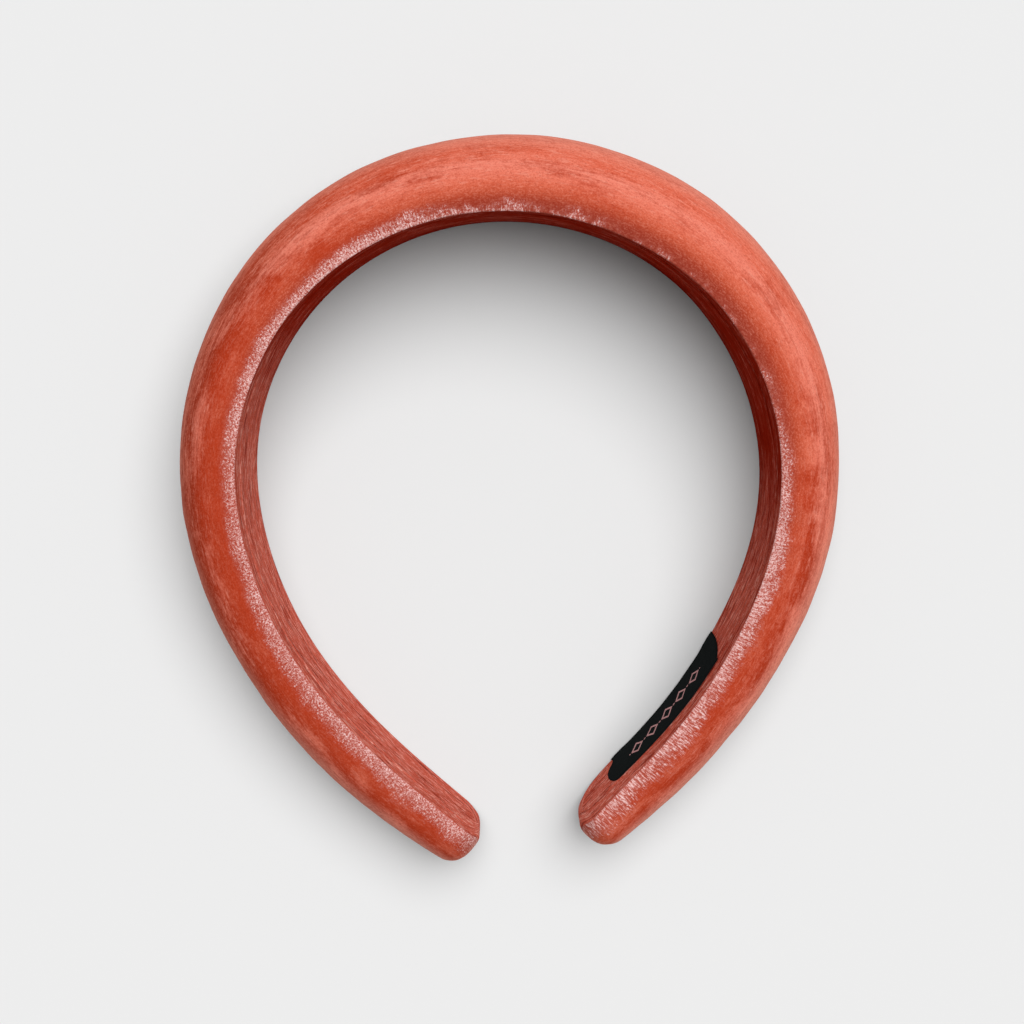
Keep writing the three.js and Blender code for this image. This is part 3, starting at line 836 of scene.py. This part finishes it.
def label_material():
    """Dark weave with a row of open diamonds and a dot between each pair."""
    shader = Shader("woven_label_damask")
    maths, fade, mix = shader.math, shader.fade, shader.mix
    along, across, _ = shader.rest()
    warp = maths("SINE", across * (2 * math.pi / WARP_PITCH))
    weft = maths("SINE", along * (2 * math.pi / WEFT_PITCH))
    weave = warp * weft
    stretched = shader.combine(along * 0.5, across * 2.6, 0.0)
    slub = shader.noise(stretched, scale=1.0, detail=2.0, rough=0.6)
    base = mix(fade(weave, (-1.0, 1.0)), (0.0075, 0.0088, 0.0088), (0.0180, 0.0205, 0.0205))
    base = mix(fade(slub, (0.5, 0.8), to=(0.0, 0.5)), base, (0.022, 0.029, 0.028))

    x = (along - MOTIF_START) / MOTIF_PITCH
    inside = maths("GREATER_THAN", x, 0.0) * maths("LESS_THAN", x, float(MOTIF_COUNT))
    from_diamond = (maths("FRACT", x) - 0.5) * MOTIF_PITCH
    y = across - MOTIF_HEIGHT
    diamond = (maths("ABSOLUTE", from_diamond) / DIAMOND_HALF_LENGTH
               + maths("ABSOLUTE", y) / DIAMOND_HALF_HEIGHT)
    outline = maths("LESS_THAN", maths("ABSOLUTE", diamond - 1.0), DIAMOND_LINE)
    from_dot = (maths("FRACT", x + 0.5) - 0.5) * MOTIF_PITCH
    dot = maths("LESS_THAN", from_dot * from_dot + y * y, DOT_RADIUS_SQUARED)
    motif = maths("MAXIMUM", outline, dot) * inside

    thread = mix(fade(weave, (-1.0, 1.0)), srgb(176, 118, 118), srgb(226, 178, 176))
    normal = shader.bump(weave * 0.5 + motif * 0.8, strength=0.5, distance=0.00009)
    rough = fade(slub, (0.3, 0.8), to=(0.42, 0.62), kind="LINEAR")
    return shader.finish(mix(motif, base, thread), rough, normal, specular=0.0)


COVER_VELVET = Velvet("velvet_pile").build()
LINING_VELVET = Velvet("velvet_lining_nap").build()
FOAM = foam_material()
PLASTIC = plastic_material()
LABEL_SATIN = label_material()

# ---------------------------------------------------------------------------
# Band pieces. Each takes a name, a side and its first and last arc length;
# the last is None for a piece that runs to the tip.
# ---------------------------------------------------------------------------
COVER_STEP = 0.8
LINING_STEP, CORE_STEP = 1.2, 1.5
TIP_RUN = 14                       # length over which the cover's stations crowd together
JOIN_STEP = 0.04                   # short step at a join, so shading runs on across it
HOOP_TIP_GAP, FOAM_TIP_GAP = 3.8, 5.0


def even_arcs(start, stop, step):
    return np.linspace(start, stop, int((stop - start) / step) + 1)


def cover_piece(name, side, start, stop):
    tip = stop is None
    end = SIDES[side]["end"]
    even_stop = end - TIP_RUN if tip else stop
    arc = np.linspace(start, even_stop, max(2, int(round((even_stop - start) / COVER_STEP)) + 1))
    if tip:
        near = end - TIP_RUN * np.power(1 - np.linspace(0, 1, 34)[1:], 1.9)
        arc = np.concatenate([arc, np.minimum(near, end - 0.02)])
    before_last = [] if tip else [arc[-1] - JOIN_STEP]
    arc = np.concatenate([arc[:1], [arc[0] + JOIN_STEP], arc[1:-1], before_last, arc[-1:]])
    return build_cover(name, side, arc)


def lining_loop(side, arc):
    end = SIDES[side]["end"] - LINING_GAP
    half = lining_half(side, arc) * 1.015
    share = np.linspace(-1, 1, 44)[None, :]
    share = np.sign(share) * (1 - np.power(1 - np.abs(share), 1.5))
    wander = 0.10 * HEM_WANDER(side * arc, 2.0) * np.clip(half / 5, 0, 1)
    edge_round = np.sqrt(np.clip(1 - np.abs(share) ** 22, 0, 1))
    height = (half + wander) * share
    lie = section(side, arc)[4]
    proud = 0.12 * (0.45 + 0.55 * smooth(end - 1, end - 10, arc))
    groove = 0.02 * np.exp(-((np.abs(share) - 0.90) / 0.06) ** 2)
    ripple = 0.02 * LINING_WAVE(side * arc, share * 9) - groove
    head_face = lie + 0.03 - proud * edge_round + ripple * edge_round
    back = lie + 0.28 + 0 * height
    return np.concatenate([head_face, back], 1), np.concatenate([height, height[:, ::-1]], 1)


def lining_piece(name, side, start, stop):
    if stop is None:
        end, run = SIDES[side]["end"] - LINING_GAP, 5
        near = end - run * np.power(1 - np.linspace(0, 1, 14)[1:], 1.8) - 0.02
        arc = np.concatenate([even_arcs(start, end - run, LINING_STEP), near])
    else:
        arc = even_arcs(start, stop, LINING_STEP)
    return build_sweep(name, side, arc, lining_loop, head_side=True)


def hoop_loop(side, arc):
    """A rectangle with rounded corners."""
    close = rounding(arc, SIDES[side]["end"] - LINING_GAP, 7.0, 2.2)
    half = (half_width(arc) - 1.6) * np.maximum(close, 0.15)
    corner = 0.5
    near, far = HOOP_FACE + corner, HOOP_FACE + HOOP_WALL - corner
    angles = np.linspace(0, math.pi / 2, 6)
    depths, heights = [], []
    # corner centre depth, direction in depth, direction in height, order of the angles
    for centre, out, sign, order in ((near, -1, 1, 1), (far, 1, 1, -1),
                                     (far, 1, -1, 1), (near, -1, -1, -1)):
        for angle in angles[::order]:
            depths.append(centre + out * corner * math.cos(angle))
            heights.append(sign * (half[:, 0] + (corner * math.sin(angle) - corner)))
    return np.array(depths)[None, :] + 0 * arc, np.stack(heights, 1)


def hoop_piece(name, side, start, stop):
    arc = even_arcs(start, stop or SIDES[side]["end"] - HOOP_TIP_GAP, CORE_STEP)
    return build_sweep(name, side, arc, hoop_loop)


def foam_loop(side, arc):
    """The dome inside the cover, cut off flat above the hoop."""
    centre, up, low, high, _ = section(side, arc)
    face = HOOP_FACE + HOOP_WALL + 0.3
    top = np.maximum(high - FOAM_INSET, face + 0.6)
    cut = np.power((face - FOAM_BASE) / (top - FOAM_BASE), DOME_POWER / 2)
    angle = np.arccos(np.clip(cut, 0, 0.97)) * np.linspace(1, -1, 40)[None, :]
    outward, sideways = superellipse(angle)
    up, low = (np.maximum(half - FOAM_INSET, half * 0.5) for half in (up, low))
    half = np.where(sideways >= 0, up, low)
    return FOAM_BASE + (top - FOAM_BASE) * outward, centre + half * sideways


def foam_piece(name, side, start, stop):
    arc = even_arcs(start, stop or SIDES[side]["end"] - FOAM_TIP_GAP, CORE_STEP)
    return build_sweep(name, side, arc, foam_loop)


# layer, builder, material, slot
LAYERS = (
    ("velvet_cover", cover_piece, COVER_VELVET, "velvet"),
    ("velvet_lining", lining_piece, LINING_VELVET, "velvet_lining"),
    ("core_hoop", hoop_piece, PLASTIC, "hoop_plastic"),
    ("foam_pad", foam_piece, FOAM, "foam"))


def build_side(side):
    side_name = SIDES[side]["name"]
    shoulder, leg = f"{side_name}_shoulder", f"{side_name}_leg"
    # part, first and last arc length, the nodes whose parts it hides, arc lengths of the blend
    for part, start, stop, nodes, blend in (
            ("upper", 0.0, SPLIT, ("crown", shoulder), (2.5, 43.5)),
            ("lower", SPLIT, None, (shoulder, leg), (49.0, 87.0))):
        blend_start, blend_end = (tuple(place(side, arc, FLEX_DEPTH, 0) * MM) for arc in blend)
        for layer, build, material, slot in LAYERS:
            obj = build(f"{layer}_{side_name}_{part}", side, start, stop)
            obj.data.materials.append(material)
            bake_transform(obj)
            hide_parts(*[f"{layer}_{node}" for node in nodes])


for side in (-1, 1):
    build_side(side)

# ---------------------------------------------------------------------------
# Woven label: a thin strip lying on the head side of the right leg
# ---------------------------------------------------------------------------
LABEL_ROWS, LABEL_COLUMNS = 64, 34
LABEL_MARGIN = 0.75                # from the band's lower edge
LABEL_ORIGIN = 137.0               # arc length where the woven pattern starts
LABEL_FLOOR = 0.25                 # lowest Z
# upper outline: (arc length, height across the band)
LABEL_TOP = [
    (136.6, 7.6), (139.0, 7.55), (146, 7.35), (152, 7.2), (157, 7.0), (166.5, 6.1),
    (173, 6.05), (178, 6.15)]
# end outlines: (share of the label's width from its lower edge, arc length)
LABEL_CROWN_END = [
    (0, 136.4), (0.35, 136.5), (0.55, 136.9), (0.75, 137.8), (0.88, 138.7), (0.955, 139.3),
    (1.0, 138.9)]
LABEL_TIP_END = [
    (0, 175.9), (0.06, 175.6), (0.15, 175.4), (0.22, 176.1), (0.31, 177.1), (0.44, 177.7),
    (0.62, 177.8), (0.74, 177.5), (0.88, 176.7), (0.96, 176.0), (1.0, 175.0)]


def label_piece():
    rows, columns = LABEL_ROWS, LABEL_COLUMNS
    across = np.linspace(0, 1, columns)
    along = np.linspace(0, 1, rows)[:, None]
    crown_end, tip_end = (np.interp(across, *np.array(table).T)[None, :]
                          for table in (LABEL_CROWN_END, LABEL_TIP_END))
    arc = crown_end * (1 - along) + tip_end * along
    centre, _, below, _, _ = section(1, arc)
    low = np.maximum(-half_width(arc) + LABEL_MARGIN, centre - below + 0.55)
    high = np.interp(arc, *np.array(LABEL_TOP).T)
    height = low + (high - low) * across[None, :]
    # thinner toward the rim
    edge = np.minimum(np.minimum(along * (rows - 1), (1 - along) * (rows - 1)) / 2.5,
                      np.minimum(across, 1 - across)[None, :] * (columns - 1) / 1.6)
    lip = 1 - np.power(np.clip(1 - edge, 0, 1), 2.2)
    drift = eased("drift", 1, arc)
    lie = -0.20 + 0.04 * LINING_WAVE(arc, height * 1.3 + 40)
    # thicker at the folded ends
    fold = smooth(6.5, 3.5, arc - crown_end) + smooth(6.5, 3.5, tip_end - arc)
    body = 0.30 + 0.12 * fold
    skins = []
    for depth in (lie - body * (0.35 + 0.65 * lip) + drift, lie + 0.04 + drift):
        skin = place(1, arc, depth, height)
        skin[..., 2] = np.maximum(skin[..., 2], LABEL_FLOOR)
        skins.append(skin.reshape(-1, 3))
    base, last = rows * columns, (rows - 1) * columns
    faces = two_skins(rows, columns)
    rim = [i * columns for i in range(rows)]
    rim += [last + j for j in range(1, columns)]
    rim += [i * columns + columns - 1 for i in range(rows - 2, -1, -1)]
    rim += list(range(columns - 2, 0, -1))
    for a, b in zip(rim, rim[1:] + rim[:1]):
        faces.append([a, b, base + b, base + a])
    rest = np.stack([arc - LABEL_ORIGIN, height + half_width(arc) - LABEL_MARGIN, 0 * arc], -1)
    rest = rest.reshape(-1, 3)
    return make_object("woven_label", np.concatenate(skins), faces, np.concatenate([rest, rest]))


label = label_piece()
label.name = "woven_label_strip"  # only the mesh keeps the shorter name
label.data.materials.append(LABEL_SATIN)
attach(label, "right_leg")
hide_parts("woven_label")

# ---------------------------------------------------------------------------
# Floor, light, camera (metres, except the camera's places in mm)
# ---------------------------------------------------------------------------
FLOOR_HALF = 3.0
FLOOR_Z = -0.0001
FLOOR_GREY = (0.80, 0.80, 0.80)
WORLD_STRENGTH, WALL_STRENGTH = 0.20, 0.84
KEY_FROM = (0.22, 0.37, 1.0)
KEY_ENERGY, KEY_ANGLE = 2.95, math.radians(55)
SENSOR_WIDTH, FOCAL_LENGTH = 36.0, 54.6328125
EYE = Vector((0.34, 17.93 + SHIFT_Y, 370.0 - SINK)) * MM
AIM = Vector((0.673, -7.90 + SHIFT_Y, -SINK)) * MM
ROLL = math.radians(2.606)
scene = bpy.context.scene


def add_object(name, data):
    obj = bpy.data.objects.new(name, data)
    scene.collection.objects.link(obj)
    return obj


def build_floor():
    mesh = bpy.data.meshes.new("floor")
    corners = [(x * FLOOR_HALF, y * FLOOR_HALF, 0) for x, y in ((-1, -1), (1, -1), (1, 1), (-1, 1))]
    mesh.from_pydata(corners, [], [(0, 1, 2, 3)])
    floor = add_object("floor", mesh)
    floor.location.z = FLOOR_Z
    mesh.materials.append(Shader("floor_paper").finish(FLOOR_GREY, rough=0.9, specular=0.0))


def build_world():
    """Dim white light all round; the camera sees a wall as pale as the floor."""
    world = bpy.data.worlds.new("studio")
    scene.world = world
    world.use_nodes = True
    nodes, links = world.node_tree.nodes, world.node_tree.links
    light, wall = nodes["Background"], nodes.new("ShaderNodeBackground")
    for background, strength in ((light, WORLD_STRENGTH), (wall, WALL_STRENGTH)):
        background.inputs["Color"].default_value = (1, 1, 1, 1)
        background.inputs["Strength"].default_value = strength
    seen = nodes.new("ShaderNodeLightPath")
    swap = nodes.new("ShaderNodeMixShader")
    links.new(seen.outputs["Is Camera Ray"], swap.inputs[0])
    links.new(light.outputs[0], swap.inputs[1])
    links.new(wall.outputs[0], swap.inputs[2])
    links.new(swap.outputs[0], nodes["World Output"].inputs["Surface"])


def build_key():
    sun = bpy.data.lights.new("key", "SUN")
    sun.energy = KEY_ENERGY
    sun.angle = KEY_ANGLE
    obj = add_object("key", sun)
    obj.rotation_mode = "QUATERNION"
    obj.rotation_quaternion = Vector(KEY_FROM).to_track_quat("Z", "Y")
    obj.location = KEY_FROM


def build_camera():
    """Looks down from above, with +Y nearly upward in the view."""
    data = bpy.data.cameras.new("camera")
    camera = add_object("camera", data)
    scene.camera = camera
    data.sensor_width = SENSOR_WIDTH
    data.lens = FOCAL_LENGTH
    forward = (AIM - EYE).normalized()
    up = Vector((math.sin(ROLL), math.cos(ROLL), 0))
    up = (up - forward * up.dot(forward)).normalized()
    axes = Matrix((forward.cross(up), up, -forward)).transposed()
    camera.rotation_mode = "QUATERNION"
    camera.rotation_quaternion = axes.to_quaternion()
    camera.location = EYE
    data.clip_start, data.clip_end = 0.01, 20.0


build_floor()
build_world()
build_key()
build_camera()
scene.view_settings.view_transform = "Standard"
scene.view_settings.look = "None"

bpy.context.view_layer.update()
